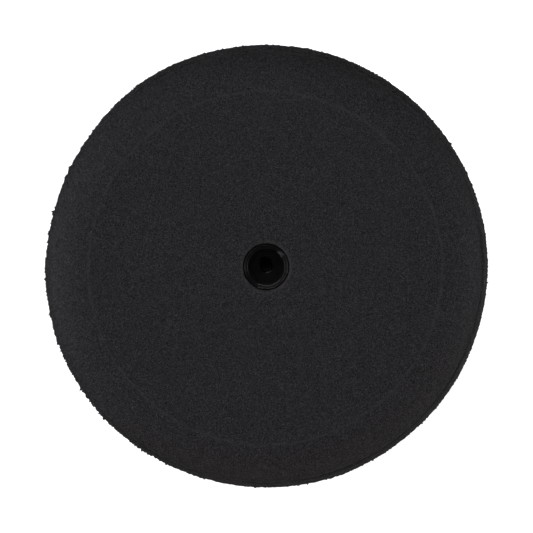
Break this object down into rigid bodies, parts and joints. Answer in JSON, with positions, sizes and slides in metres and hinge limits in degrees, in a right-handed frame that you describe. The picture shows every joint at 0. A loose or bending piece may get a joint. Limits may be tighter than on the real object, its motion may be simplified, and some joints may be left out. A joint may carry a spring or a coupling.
{
  "type": "polishing pad",
  "caption": "Double-sided round foam polishing pad with a recessed quick-connect hub for a rotary polisher.",
  "frame": {"origin": "centre of the rear working face, on the plane that the pad rests on", "axes": "+Z along the hub's axis, from the rear working face to the front one; the first rivet stands on +X"},
  "size_m": [0.2032, 0.2032, 0.05],
  "materials": {
    "foam": "matte",
    "plate": "satin",
    "adhesive": "satin",
    "hub": "gloss",
    "rivet": "satin"
  },
  "bodies": {
    "root": {"front_foam_pad": "foam", "rear_foam_pad": "foam", "front_backing_plate": "plate", "rear_backing_plate": "plate", "front_adhesive_film": "adhesive", "rear_adhesive_film": "adhesive", "rim_adhesive_ring": "adhesive", "front_hub": "hub", "rear_hub": "hub", "hub_rivets": "rivet"}
  },
  "joints": []
}
